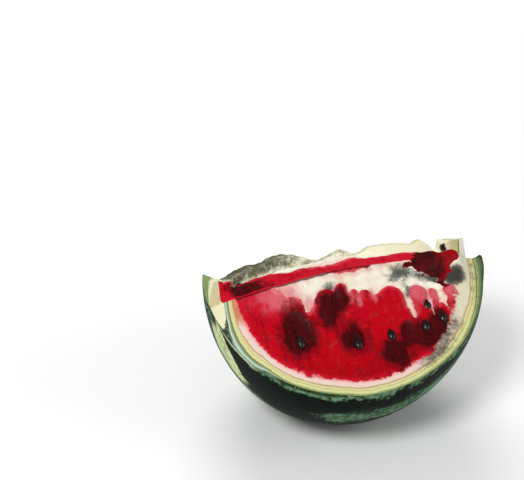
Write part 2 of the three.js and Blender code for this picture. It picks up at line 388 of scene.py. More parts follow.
# A dark green edge outside the bands at the lower left: its width, and where it starts and ends in degrees
DARK_EDGE = 2.3 * MM
DARK_EDGE_START = (92, 106)
DARK_EDGE_END = (136, 146)
# The left end by the cosine of its stations, the cream strip outside its bands and the gap before that,
# and the orange tinge of its bands, by the share of the way to the rim
LEFT_END = (0.55, 0.85)
LEFT_STRIP = 13 * MM
LEFT_STRIP_EDGE = 1 * MM
LEFT_STRIP_END = (0.68, 0.82)
LEFT_GAP = 1.4 * MM
LEFT_GAP_START = (0.25, 0.5)
TINGE_END = (0.26, 0.44)


def left_end(station):
    return smoothstep(-np.cos(station), *LEFT_END)


def rind_band(depth, station, share):
    """Which band of the rind a point lies in: up to 1 green, to 2 yellow-green, to 3 pale, then flesh.
    Below 0 is the cream strip outside the bands at the left end."""
    degrees = np.degrees(station)
    rightness = np.cos(station)
    leftness = left_end(station)
    dark_edge = smoothstep(degrees, *DARK_EDGE_START) * (1 - smoothstep(degrees, *DARK_EDGE_END))
    depth = depth - LEFT_STRIP * leftness * (1 - share) - DARK_EDGE * dark_edge
    green = GREEN_BAND + GREEN_BAND_LEFT * leftness
    green = green + GREEN_BAND_RIGHT * smoothstep(rightness, *GREEN_RIGHT)
    yellow = YELLOW_BAND + YELLOW_BAND_RIGHT * smoothstep(rightness, *YELLOW_RIGHT)
    pale = PALE_BAND + PALE_BAND_RIGHT * smoothstep(rightness, *PALE_RIGHT)
    gap = LEFT_GAP * smoothstep(share, *LEFT_GAP_START)
    outside = np.clip((-depth - gap) / LEFT_STRIP_EDGE, 0, 1) * (1 - smoothstep(share, *LEFT_STRIP_END))
    in_green = np.clip(depth / green, 0, 1) - outside
    in_yellow = np.clip((depth - green) / (yellow - green), 0, 1)
    in_pale = np.maximum((depth - yellow) / (pale - yellow), 0)
    return in_green + in_yellow + in_pale


# The dark torn flesh on the lump: its middle, half length and reach, its ragged edge, and its streaks
# along the ridge, in millimetres: place along X, below the ridge, half width, half height
TORN_X = 83 * MM
TORN_HALF_LENGTH = 20 * MM
TORN_REACH_FRONT = 31 * MM
TORN_REACH_BACK = 46 * MM
TORN_WAVERS = [(10 * MM, 3.5 * MM), (4 * MM, 3.5 * MM), (2 * MM, 2.5 * MM)]
TORN_STRETCH = np.array([0.6, 1, 1])
TORN_EDGE = (-3 * MM, 4.5 * MM)
TORN_STREAKS = [(61, 4, 10, 3), (70, 8, 6, 6)]
STREAK_SWAY = [(5 * MM, 4 * MM)]
STREAK_RAGGED = [(4 * MM, 3 * MM), (2 * MM, 2 * MM)]
STREAK_EDGE = (0.2, 0.6)
# How deep inside the flesh the torn patch counts, and by how many bands
TORN_AS_FLESH = 40 * MM
TORN_BANDS = 3


def torn_flesh(point, beside, reach):
    """The ragged patch of dark torn flesh on the lump, a triangle with its tip so far beside the ridge."""
    waver = grain(point * TORN_STRETCH, TORN_WAVERS)
    inside = TORN_HALF_LENGTH * (1 - beside / reach) - np.abs(point[..., 0] - TORN_X) + waver
    return smoothstep(inside, *TORN_EDGE)


def reach_with_torn(reach, torn):
    """The reach of the flesh in millimetres, with the torn patch counted as flesh."""
    return np.maximum(reach, TORN_AS_FLESH * (torn - 0.5)) / MM


def mounds(x, down, places, most=1):
    return np.minimum(sum(mound(x, down, place) for place in places), most)


# The visible surface, region by region: each gives its points and its fields

FLESH_GRAIN = [(13 * MM, 0.5 * MM), (5 * MM, 0.4 * MM), (2.4 * MM, 0.22 * MM)]
SCRAPED_GRAIN = [(18 * MM, 1.3 * MM), (7 * MM, 0.8 * MM), (3 * MM, 0.35 * MM)]
TORN_GRAIN = [(13 * MM, 1.8 * MM), (5.5 * MM, 0.8 * MM), (2.5 * MM, 0.35 * MM)]
RIND_GRAIN = [(6 * MM, 0.12 * MM), (2.5 * MM, 0.08 * MM)]
# The lobes: the waver of their edges, their step down to the hollow, and their swell inside that edge
LOBE_WAVER = [(8 * MM, 1.2 * MM), (3.5 * MM, 0.5 * MM)]
LOBE_EDGE = 2 * MM
LOBE_SWELL = 1.4 * MM
LOBE_RISE = (-1 * MM, 5 * MM)
LOBE_FALL = (5 * MM, 20 * MM)
STAIN_DEPTH = 1.2 * MM
GAP_DEPTH = 1 * MM
# The bands over which the hollow ends and the flesh starts
HOLLOW_BANDS = (2.4, 3.2)
FLESH_BANDS = (2.6, 3.2)
# The shares beside the ridge and the rim over which relief fades in
STILL_AT_RIDGE = (0, 0.03)
STILL_AT_RIM = (0, 0.02)
# The painted shadow line in the crease under the ridge, in dark red: its middle below it, its half width,
# and where it starts at the right
RIDGE_SHADOW_LINE = (0.5 * MM, 1.9 * MM)
RIDGE_SHADOW_LINE_START = (-60 * MM, 0)
# Towards the left the flesh fades into the hollow: where it starts and ends, how far down, and how much
LOOSE_FLESH = (26 * MM, 48 * MM)
LOOSE_END = (70 * MM, 82 * MM)
LOOSE_BELOW = (9 * MM, 14 * MM)
LOOSE_SHARE = 0.94
# Grey shading of the rind at the lower right: middle and half width in degrees, and its bands
EDGE_SHADE = (56, 24)
EDGE_SHADE_START = (0.5, 2.4)
EDGE_SHADE_END = (3.1, 4)
# Olive shading of the outer bands at the right end: the cosine of its stations, its bands and its strength
END_SHADE = (0.78, 0.92)
END_SHADE_BANDS = (1.8, 2.4)
END_SHADE_MOST = 0.5
# How far the painted shade may build up where it overlaps: past 1 it turns into nearly black painted
# shadow
PAINTED_SHADOW_MOST = 2


def front_form(station, share):
    """The front of the solid: its flat cut, its distance below the ridge, and its height off the cut."""
    ridge = ridge_point(station)
    rim = skin_point(station, np.full_like(station, FRONT_ANGLE))
    flat = ridge + (rim - ridge) * share[..., None]
    x = flat[..., 0]
    down = length(flat - ridge)
    reach = flesh_reach(x, down) + grain(flat, LOBE_WAVER)
    band = rind_band(rind_depth(flat, station), station, share)
    hollow = HOLLOW_DEPTH * hill(x, HOLLOW_X, HOLLOW_HALF_LENGTH)
    hollow = hollow * (1 - smoothstep(reach, -LOBE_EDGE, LOBE_EDGE))
    hollow = hollow * smoothstep(down, *HOLLOW_EDGE) * smoothstep(band, *HOLLOW_BANDS)
    return flat, down, reach, band, lump(flat, down) - hollow


def raise_front(flat, height):
    return flat + sweep(FRONT_ANGLE + math.pi / 2) * height[..., None]


def front_surface(station, share):
    flat, *others, height = front_form(station, share)
    return raise_front(flat, height)


def front_torn(flat, down):
    """The torn flesh on the front, with its streaks along the ridge."""
    swayed = flat[..., 0] + grain(flat, STREAK_SWAY)
    streaks = mounds(swayed, down + grain(flat, STREAK_RAGGED), TORN_STREAKS)
    return np.maximum(torn_flesh(flat, down, TORN_REACH_FRONT), smoothstep(streaks, *STREAK_EDGE))


def front_relief(flat, share, reach, band, stain, gaps, torn):
    """How the flesh and the rind rise and sink on the front."""
    flesh = LOBE_SWELL * smoothstep(reach, *LOBE_RISE) * (1 - smoothstep(reach, *LOBE_FALL))
    flesh = flesh - STAIN_DEPTH * stain - GAP_DEPTH * gaps + grain(flat, FLESH_GRAIN)
    relief = blend(grain(flat, RIND_GRAIN), flesh, smoothstep(band, *FLESH_BANDS))
    relief = relief + grain(flat, TORN_GRAIN) * torn
    return relief * smoothstep(share, *STILL_AT_RIDGE) * smoothstep(1 - share, *STILL_AT_RIM)


def loose_flesh(x, down):
    """How much the flesh fades into the hollow towards the left."""
    loose = smoothstep(-x, *LOOSE_FLESH) * (1 - smoothstep(-x, *LOOSE_END))
    return LOOSE_SHARE * loose * (1 - smoothstep(down, *LOOSE_BELOW))


def front_shade(station, band, x, down):
    """The shading of the front: painted shade and shadows in the hollow, and shading of the rind at the
    lower right and right end.
    """
    edge = hill(np.degrees(station), *EDGE_SHADE) * smoothstep(band, *EDGE_SHADE_START)
    edge = edge * (1 - smoothstep(band, *EDGE_SHADE_END))
    end = smoothstep(np.cos(station), *END_SHADE) * (1 - smoothstep(band, *END_SHADE_BANDS))
    # Painted grey shade in the hollow, and painted shadow beside the torn lump
    painted_shadows = mounds(x, down, SHADES, PAINTED_SHADOW_MOST)
    return np.maximum.reduce([painted_shadows, edge, END_SHADE_MOST * end])


def front_region(station, share):
    flat, down, reach, band, height = front_form(station, share)
    x = flat[..., 0]
    torn = front_torn(flat, down)
    stain = mounds(x, down, STAINS)
    gaps = mounds(x, down, GAPS)
    relief = front_relief(flat, share, reach, band, stain, gaps, torn)
    fields = {
        "reach": reach_with_torn(reach * (1 - loose_flesh(x, down)), torn),
        "band": band + TORN_BANDS * torn,
        "down": down / MM,
        "stain": stain,
        "line": hill(down, *RIDGE_SHADOW_LINE) * smoothstep(-x, *RIDGE_SHADOW_LINE_START),
        "torn": torn,
        "blush": np.maximum(mounds(x, down, BLUSHES), gaps),
        "shade": front_shade(station, band, x, down),
        "left": left_end(station),
        "right": smoothstep(np.cos(station), *PALE_RIGHT),
        "tinge": left_end(station) * (1 - smoothstep(share, *TINGE_END)),
    }
    return raise_front(flat, height + relief), fields


def skin_region(station, angle):
    point = skin_point(station, angle)
    point[..., 2] = np.maximum(point[..., 2], 0)
    return point, {"sweep": np.degrees(angle), "station": np.degrees(station)}


def back_form(station, share):
    """The back of the solid: its flat cut, its distance behind the ridge, its wall, and its points."""
    ridge = ridge_point(station)
    rim = skin_point(station, np.full_like(station, BACK_ANGLE))
    flat = ridge + (rim - ridge) * share[..., None]
    beside = length(flat - ridge)
    foot, top = rind_wall(station)
    on_wall = smoothstep(share, foot, top)
    start = trough_start(station, flat[..., 0])
    in_trough = smoothstep(share, start - TROUGH_EASE, start + TROUGH_EASE) * (1 - on_wall)
    swell = CREST_SWELL * hill(share, CREST_SHARE, CREST_SHARE)
    to_ragged_rim = skin_point(station, back_rim_angle(station)) - rim
    point = flat + to_ragged_rim * on_wall[..., None]
    standing = lump(flat, beside) + blend(tip(station, share), fin_lean(station, share, top), on_wall)
    point[..., 2] += (swell - TROUGH_DEPTH * in_trough) * np.sin(station) + standing
    return flat, beside, on_wall, point


def back_surface(station, share):
    return back_form(station, share)[-1]


# The dark stain of the crest at the left: middle and half width in degrees, its strength, and its edges
# behind the ridge
LEFT_STAIN = (133, 20)
LEFT_STAIN_MOST = 0.9
LEFT_STAIN_START = (1 * MM, 6 * MM)
LEFT_STAIN_END = (24 * MM, 44 * MM)
# Stations of the cream horn, of the white rim before it and of the red tip beside it, in degrees
HORN_CREAM = (153, 153.7)
WHITE_RIM = (138, 142)
RED_TIP = (127, 132)
RED_TIP_BAND = 3.5
# The shading of the scraped wall and of the trough before it: how far left it starts and is full, how
# strong it is, and the shares of the way up the wall, or to the rim, over which it grows
WALL_SHADE = (-60 * MM, 55 * MM)
WALL_TAN = (-60 * MM, -30 * MM)
WALL_TAN_MOST = 0.5
WALL_SHADE_RISE = (0, 0.6)
WALL_TOP = (0.9, 1)
TROUGH_SHADE = (-50 * MM, -15 * MM)
TROUGH_SHADE_MOST = 0.45
TROUGH_SHADE_SHARES = (0.3, 0.5)
HORN_SHADE_SHARES = (0.3, 0.6)
# The blush beyond the crest, the smoother grain of the wall, and the streaks' slower run down the back
BACK_BLUSH = 0.8
BACK_BLUSH_SHARES = (0.4, 0.7)
WALL_SMOOTHNESS = 0.7
BACK_STREAKS = 0.6
# Where the scraped look of the back starts beside the right end, in degrees
WORN_START = (8, 16)
# Across the inside of the fin, stations in degrees: the band that each has reached, how pale the left is,
# and the white of the right end
FIN_BANDS = ([12, 18, 28.3, 31.2, 33, 37], [9, 0, 1, 2, 2.9, 9])
FIN_CREAM = ([31.2, 32.2, 37, 39], [0, 2.4, 2.4, 0])
FIN_WHITE = ([21, 22, 28, 28.4], [0, 1, 1, 0])
FIN_WHITE_FOOT = (0, 0.1)
FIN_TOP_EDGE = 0.04
# The dark bed of the fin's seed: how dark it is, and where it fades
FIN_BED_SHADE = 2.2
FIN_BED_EDGE = (4 * MM, 6 * MM)


def fin_seed_bed(point):
    """How darkly the rind is soaked around the fin's seed."""
    middle = face_frame(back_surface, *FIN_SEED)[0]
    return FIN_BED_SHADE * (1 - smoothstep(length(point - middle), *FIN_BED_EDGE))


def outside_wall(station, share):
    """Where the top of the wall falls away to the outside."""
    top = rind_wall(station)[1]
    return smoothstep(share, top, top + FIN_TOP_EDGE)


def back_band(flat, station, share, on_top):
    """The bands of the rind on the back, with those across the fin and the red tip."""
    degrees = np.degrees(station)
    band = rind_band(rind_depth(flat, station), station, np.ones_like(share))
    across_fin = np.minimum(band, np.interp(degrees, *FIN_BANDS))
    band = blend(across_fin, band, outside_wall(station, share))
    band = np.maximum(band, np.interp(degrees, *FIN_CREAM))
    return blend(band, RED_TIP_BAND, smoothstep(degrees, *RED_TIP) * (1 - on_top))


def back_shade(point, x, station, share, on_wall, horn):
    """The shading of the back: the wall, the bed of the fin's seed, the trough and the horn."""
    wall = np.maximum(smoothstep(-x, *WALL_SHADE), WALL_TAN_MOST * smoothstep(-x, *WALL_TAN))
    wall = wall * smoothstep(on_wall, *WALL_SHADE_RISE) * (1 - left_end(station))
    trough = smoothstep(-x, *TROUGH_SHADE) * smoothstep(share, *TROUGH_SHADE_SHARES)
    on_horn = horn * smoothstep(share, *HORN_SHADE_SHARES)
    return np.maximum.reduce([wall, fin_seed_bed(point), TROUGH_SHADE_MOST * trough, on_horn])


def crest_stain(degrees, beside):
    """The dark stain of the crest at the left."""
    stain = hill(degrees, *LEFT_STAIN) * smoothstep(beside, *LEFT_STAIN_START)
    return LEFT_STAIN_MOST * stain * (1 - smoothstep(beside, *LEFT_STAIN_END))


def back_region(station, share):
    flat, beside, on_wall, point = back_form(station, share)
    degrees = np.degrees(station)
    torn = torn_flesh(flat, beside, TORN_REACH_BACK)
    inside = smoothstep(share, *STILL_AT_RIDGE) * smoothstep(1 - share, *STILL_AT_RIDGE) * np.sin(station)
    point[..., 2] += grain(flat, SCRAPED_GRAIN) * inside * (1 - WALL_SMOOTHNESS * on_wall)
    point[..., 2] += grain(flat, TORN_GRAIN) * inside * torn
    on_top = smoothstep(on_wall, *WALL_TOP)
    horn = np.maximum(smoothstep(degrees, *HORN_CREAM), smoothstep(degrees, *WHITE_RIM) * on_top)
    on_fin = smoothstep(on_wall, *FIN_WHITE_FOOT) * (1 - outside_wall(station, share))
    blush = smoothstep(share, *BACK_BLUSH_SHARES) * (1 - smoothstep(degrees, *RED_TIP))
    fields = {
        "reach": reach_with_torn(crest_reach(flat, station, beside), torn),
        "band": back_band(flat, station, share, on_top) + TORN_BANDS * torn,
        "down": BACK_STREAKS * beside / MM,
        "stain": crest_stain(degrees, beside),
        "torn": torn,
        "blush": BACK_BLUSH * blush,
        "shade": back_shade(point, flat[..., 0], station, share, on_wall, horn),
        "white": np.interp(degrees, *FIN_WHITE) * on_fin,
        "worn": smoothstep(degrees, *WORN_START),
        "horn": horn,
    }
    return point, fields


def back_shares(station):
    """The shares of the back from the rim in to the ridge, close together on the rind's wall."""
    foot, top = (edge[:, None] for edge in rind_wall(station))
    on_rind = blend(1, top, np.arange(RIND_STEPS) / RIND_STEPS)
    on_wall = blend(top, foot, np.arange(WALL_STEPS) / WALL_STEPS)
    on_flesh = blend(foot, 0, np.arange(BACK_STEPS) / BACK_STEPS)
    return np.concatenate([on_rind, on_wall, on_flesh], axis=1)


# The wedge's mesh

def wedge_regions():
    station = math.pi * np.arange(1, STATIONS) / STATIONS
    front_share = np.tile(np.arange(FRONT_STEPS) / FRONT_STEPS, (len(station), 1))
    back_share = back_shares(station)
    skin_share = np.arange(SKIN_STEPS) / SKIN_STEPS
    angle = blend(FRONT_ANGLE, back_rim_angle(station)[:, None], skin_share)

    def spread(shares):
        return np.broadcast_to(station[:, None], shares.shape).copy()

    return [
        front_region(spread(front_share), front_share),
        skin_region(spread(angle), angle),
        back_region(spread(back_share), back_share),
    ]


def loft_faces(loops, count):
    """Quads between neighbouring loops, and a fan of triangles at each end."""
    first = 1 + np.arange(loops * count).reshape(loops, count)
    after = np.roll(first, -1, axis=1)
    quads = np.stack([first[:-1], first[1:], after[1:], after[:-1]], -1).reshape(-1, 4)
    last = loops * count + 1
    faces = [tuple(quad) for quad in quads.tolist()]
    faces += [(0, int(a), int(b)) for a, b in zip(first[0], after[0])]
    faces += [(last, int(b), int(a)) for a, b in zip(first[-1], after[-1])]
    return faces


def wedge_mesh():
    regions = wedge_regions()
    points = np.concatenate([points for points, fields in regions], axis=1)
    loops, count = points.shape[:2]
    ends = [skin_point(np.array(end), np.array(0.0)) for end in (0.0, math.pi)]
    vertices = np.concatenate([ends[0][None], points.reshape(-1, 3), ends[1][None]])
    mesh = bpy.data.meshes.new("wedge")
    mesh.from_pydata(vertices.tolist(), [], loft_faces(loops, count))
    for name in sorted({name for points, fields in regions for name in fields}):
        parts = [fields.get(name, np.zeros(points.shape[:2])) for points, fields in regions]
        values = np.concatenate(parts, axis=1)
        values = np.concatenate([values[0, :1], values.ravel(), values[-1, :1]])
        mesh.attributes.new(name, "FLOAT", "POINT").data.foreach_set("value", values.astype(np.float32))
    places = np.tile(np.arange(count), loops + 1)
    on_skin = (places >= FRONT_STEPS) & (places < FRONT_STEPS + SKIN_STEPS)
    mesh.polygons.foreach_set("material_index", on_skin.astype(np.int32))
    mesh.shade_smooth()
    mesh.set_sharp_from_angle(angle=SHARP_ANGLE)
    mesh.update()
    return mesh


# Shader helpers

def colour(red, green, blue):
    """A colour given as it looks on a screen, from 0 to 255, turned into the shader's own values."""
    values = np.array([red, green, blue]) / 255
    linear = np.where(values <= 0.04045, values / 12.92, ((values + 0.055) / 1.055) ** 2.4)
    return (*linear.tolist(), 1.0)


class Shader:
    """Builds one material's nodes: each method adds a node and gives back its output."""

    def __init__(self, name, specular=0.5):
        self.material = bpy.data.materials.new(name)
        self.material.use_nodes = True
        self.tree = self.material.node_tree
        self.surface = self.tree.nodes["Principled BSDF"]
        self.surface.inputs["Specular IOR Level"].default_value = specular
        self.place = self.add("ShaderNodeTexCoord").outputs["Object"]

    def add(self, kind, inputs=None, **settings):
        node = self.tree.nodes.new(kind)
        for name, value in settings.items():
            setattr(node, name, value)
        for name, value in (inputs or {}).items():
            self.put(node.inputs[name], value)
        return node

    def put(self, socket, value):
        if isinstance(value, bpy.types.NodeSocket):
            self.tree.links.new(value, socket)
        else:
            socket.default_value = value

    def field(self, name):
        return self.add("ShaderNodeAttribute", attribute_name=name).outputs["Fac"]

    def math(self, operation, first, second=0.0):
        return self.add("ShaderNodeMath", {0: first, 1: second}, operation=operation).outputs[0]

    def times(self, first, second):
        return self.math("MULTIPLY", first, second)

    def noise(self, scale, detail=3.0, place=None):
        """Noise between about -0.5 and 0.5."""
        inputs = {"Vector": place or self.place, "Scale": scale, "Detail": detail}
        return self.math("SUBTRACT", self.add("ShaderNodeTexNoise", inputs).outputs["Fac"], 0.5)

    def plus(self, value, *noises):
        for source, amount in noises:
            value = self.math("ADD", value, self.times(source, amount))
        return value

    def step(self, value, low, high, start=0.0, end=1.0):
        inputs = {"Value": value, "From Min": low, "From Max": high, "To Min": start, "To Max": end}
        node = self.add("ShaderNodeMapRange", inputs, interpolation_type="SMOOTHSTEP")
        return node.outputs["Result"]

    def mix(self, share, first, second):
        node = self.add("ShaderNodeMix", data_type="RGBA")
        self.put(node.inputs["Factor"], share)
        self.put(node.inputs[6], first)
        self.put(node.inputs[7], second)
        return node.outputs[2]

    def ramp(self, value, stops):
        """Colours by value: each stop gives its place, red, green and blue."""
        node = self.add("ShaderNodeValToRGB", {"Fac": value})
        elements = node.color_ramp.elements
        for place, *shade in stops[2:]:
            elements.new(place)
        for element, (place, *shade) in zip(elements, sorted(stops)):
            element.position = place
            element.color = colour(*shade)
        return node.outputs["Color"]

    def bump(self, height, strength, distance):
        inputs = {"Height": height, "Strength": strength, "Distance": distance}
        self.put(self.surface.inputs["Normal"], self.add("ShaderNodeBump", inputs).outputs["Normal"])


# Materials

# Noise of the cut faces in lumps a metre, streaks down them, and where the torn flesh brightens along X
FINE_NOISE = 420.0
BLOTCH_NOISE = 120.0
WASH_NOISE = 34.0
STREAK_WIDTH = 5 * MM
STREAK_LENGTH = 40
TORN_BRIGHT = (80 * MM, 94 * MM)


def streaks_down(shader):
    """Noise in streaks that run down a face."""
    x = shader.add("ShaderNodeSeparateXYZ", {"Vector": shader.place}).outputs["X"]
    across = shader.math("DIVIDE", x, STREAK_WIDTH)
    along = shader.math("DIVIDE", shader.field("down"), STREAK_LENGTH)
    place = shader.add("ShaderNodeCombineXYZ", {"X": across, "Y": along}).outputs[0]
    return x, shader.noise(1.0, 4.0, place)


def flesh_colour(shader, fine, blotch, wash):
    """Red flesh: brighter near the ridge, deep below, pale at the lobes' tips and stained round seeds."""
    x, streak = streaks_down(shader)
    reach = shader.field("reach")
    depth = shader.math("DIVIDE", shader.field("down"), 100.0)
    depth = shader.plus(depth, (wash, 0.6), (blotch, 0.3), (streak, 0.4))
    from_ridge = [(0.0, 206, 20, 46), (0.3, 192, 2, 26), (0.6, 188, 0, 20), (1.0, 166, 0, 12)]
    red = shader.ramp(depth, from_ridge)
    red = shader.mix(shader.step(fine, -0.08, 0.3, 0.0, 0.6), red, colour(132, 0, 12))
    edge = shader.step(shader.plus(shader.field("band"), (blotch, 0.8)), 3.0, 3.9, 0.7, 0.0)
    red = shader.mix(edge, red, colour(210, 16, 44))
    lobe_tip = shader.step(shader.plus(reach, (blotch, 5.0), (streak, 3.0)), 0.0, 6.0, 0.55, 0.0)
    red = shader.mix(lobe_tip, red, colour(216, 84, 100))
    blush = shader.plus(shader.field("blush"), (blotch, 1.5), (streak, 0.5), (fine, 0.5))
    blush = shader.step(blush, 0.1, 0.9, 0.0, 0.8)
    red = shader.mix(blush, red, colour(218, 104, 118))
    stain = shader.plus(shader.field("stain"), (wash, 0.6), (blotch, 0.9), (streak, 0.9), (fine, 0.5))
    red = shader.mix(shader.step(stain, 0.06, 0.3, 0.0, 0.75), red, colour(126, 2, 18))
    deep = shader.step(shader.plus(streak, (fine, 0.8)), -0.25, 0.3)
    deep = shader.mix(deep, colour(28, 3, 5), colour(76, 5, 11))
    red = shader.mix(shader.step(stain, 0.34, 0.66, 0.0, 0.92), red, deep)
    torn = shader.plus(shader.math("ADD", wash, 0.5), (blotch, 0.5), (fine, 0.4))
    torn = shader.ramp(torn, [(0.25, 30, 6, 8), (0.5, 66, 8, 12), (0.75, 112, 8, 18)])
    bright = shader.step(shader.plus(x, (blotch, 0.02)), *TORN_BRIGHT, 0.0, 0.8)
    torn = shader.mix(bright, torn, colour(160, 6, 20))
    ragged = shader.step(shader.plus(shader.field("torn"), (blotch, 1.0), (fine, 1.0)), 0.35, 0.6)
    return shader.mix(ragged, red, torn)


def pale_colour(shader, fine, blotch, worn):
    """The pale hollow and the scraped rind: cream, with a pink bleed from the flesh. On the front the
    cream is pale flesh and also a painted highlight.
    """
    cream = shader.mix(shader.step(blotch, -0.25, 0.25), colour(250, 247, 230), colour(238, 232, 208))
    spread = shader.times(shader.field("reach"), shader.step(worn, 0.0, 1.0, 1.0, 0.4))
    bleed = shader.step(shader.plus(spread, (blotch, 7.0)), -5.0, 0.5, 0.0, 0.45)
    cream = shader.mix(bleed, cream, colour(222, 140, 146))
    blush = shader.step(shader.plus(shader.field("blush"), (blotch, 0.7)), 0.0, 0.8, 0.0, 0.7)
    blush = shader.times(blush, shader.step(worn, 0.0, 1.0, 1.0, 0.0))
    return shader.mix(blush, cream, colour(220, 118, 128))


def rind_colour(shader, band, worn, left):
    """The bands of the cut rind, from the cream strip outside them to the pale edge of the flesh."""
    from_strip = shader.math("DIVIDE", shader.math("ADD", band, 1.0), 4.0)
    bands = [
        (0.0, 236, 232, 194),
        (0.2, 222, 222, 180),
        (0.24, 20, 32, 22),
        (0.49, 104, 84, 52),
        (0.53, 202, 204, 140),
        (0.64, 184, 178, 116),
        (0.67, 228, 226, 170),
        (0.74, 184, 152, 112),
        (0.78, 230, 212, 194),
        (0.9, 238, 200, 194),
        (1.0, 228, 150, 152),
    ]
    green = [
        (0.29, 74, 106, 62),
        (0.37, 118, 150, 92),
        (0.46, 182, 188, 126),
        (0.6, 218, 220, 160),
    ]
    tinged = [
        (0.27, 128, 156, 128),
        (0.33, 218, 226, 212),
        (0.38, 146, 170, 142),
        (0.46, 118, 140, 108),
        (0.6, 234, 224, 160),
    ]
    at_left = shader.ramp(from_strip, bands + tinged)
    fresh = shader.mix(left, shader.ramp(from_strip, bands + green), at_left)
    torn_wall = [
        (0.0, 88, 112, 72),
        (0.1, 128, 150, 100),
        (0.22, 182, 188, 138),
        (0.245, 96, 92, 64),
        (0.27, 206, 214, 148),
        (0.48, 220, 220, 172),
        (0.55, 240, 236, 212),
        (1.0, 240, 234, 208),
    ]
    scraped = shader.ramp(shader.math("DIVIDE", band, 4.0), torn_wall)
    on_right = shader.times(shader.field("right"), shader.step(band, 1.9, 2.2))
    fresh = shader.mix(on_right, fresh, colour(220, 216, 188))
    tinge = shader.times(shader.field("tinge"), shader.step(band, 1.8, 2.1))
    fresh = shader.mix(tinge, fresh, colour(206, 130, 94))
    return shader.mix(worn, fresh, scraped)


def shaded(shader, base, fine, blotch, dusk):
    """A pale colour with its grey shading, which turns into nearly black painted shadow where the shadings
    overlap, and nearly black in the soaked bed of the fin's seed.
    """
    shade = shader.plus(shader.field("shade"), (blotch, 1.2), (fine, 0.9))
    dusk = shader.mix(shader.step(shade, 1.0, 1.7, 0.0, 0.95), dusk, colour(14, 16, 16))
    return shader.mix(shader.step(shade, 0.2, 1.1, 0.0, 0.95), base, dusk)


def horn_colour(shader, fine, blotch):
    """The cream horn at the left end, mottled with olive towards its outside."""
    mottle = shader.plus(shader.field("shade"), (blotch, 1.2), (fine, 1.2))
    return shader.mix(shader.step(mottle, 0.25, 0.9), colour(230, 228, 186), colour(132, 152, 100))


def white_colour(shader, fine, blotch):
    """The white torn end of the fin, with grey smudges."""
    smudge = shader.step(shader.plus(blotch, (fine, 0.8)), 0.0, 0.45)
    return shader.mix(smudge, colour(226, 224, 216), colour(170, 168, 160))


def cut_material():
    shader = Shader("cut_melon", specular=0.07)
    fine = shader.noise(FINE_NOISE)
    blotch = shader.noise(BLOTCH_NOISE, 4.0)
    wash = shader.noise(WASH_NOISE)
    worn = shader.field("worn")
    in_flesh = shader.step(shader.plus(shader.field("reach"), (blotch, 3.0), (fine, 1.6)), -0.5, 0.6)
    dusk = shader.mix(worn, colour(80, 84, 80), colour(84, 84, 62))
    pale = shaded(shader, pale_colour(shader, fine, blotch, worn), fine, blotch, dusk)
    cut = shader.mix(in_flesh, pale, flesh_colour(shader, fine, blotch, wash))
    # The painted shadow line in the crease under the ridge
    line = shader.plus(shader.field("line"), (blotch, 1.2), (fine, 0.6))
    cut = shader.mix(shader.step(line, 0.25, 0.7, 0.0, 0.85), cut, colour(86, 6, 16))
    band = shader.plus(shader.field("band"), (blotch, 0.3), (fine, 0.2), (wash, 0.3))
    in_rind = shader.step(shader.plus(band, (blotch, 1.4), (fine, 0.6)), 2.7, 3.1, 1.0, 0.0)
    rind = rind_colour(shader, band, worn, shader.field("left"))
    dusk = shader.mix(worn, colour(96, 90, 78), colour(62, 64, 47))
    rind = shaded(shader, rind, fine, blotch, dusk)
    base = shader.mix(in_rind, cut, rind)
    for name, patch_colour in (("white", white_colour), ("horn", horn_colour)):
        inside = shader.step(shader.plus(shader.field(name), (blotch, 0.3)), 0.35, 0.65)
        base = shader.mix(inside, base, patch_colour(shader, fine, blotch))
    shader.put(shader.surface.inputs["Base Color"], base)
    wet = shader.plus(shader.step(in_rind, 0.0, 1.0, 0.48, 0.56), (blotch, 0.3), (worn, 0.4))
    shader.put(shader.surface.inputs["Roughness"], wet)
    shader.surface.inputs["Subsurface Weight"].default_value = 0.06
    shader.surface.inputs["Subsurface Radius"].default_value = (1.0, 0.35, 0.25)
    shader.surface.inputs["Subsurface Scale"].default_value = 3 * MM
    shader.bump(shader.plus(fine, (blotch, 0.6)), 0.4, 0.6 * MM)
    return shader.material


# Degrees of sweep from one stripe of the skin to the next
STRIPE_SPACING = 22
# Where the front of the skin darkens towards the left: stations and sweep in degrees
DARK_LEFT = (100, 122)
DARK_FRONT = (15, 35)
RIM_STRIP = (57, 61)
# Pale stripes at the left end: middle, half width where they start and widening from there, in degrees
PALE_STRIPES = [
    (25.5, 7.5, 1.1, colour(208, 222, 164)),
    (62, 2.6, 0, colour(170, 192, 156)),
    (3, 0.9, 0, colour(150, 158, 128)),
]
PALE_FROM = (143, 149)
PALE_TO = (171, 175)
PALE_EDGE = 0.8


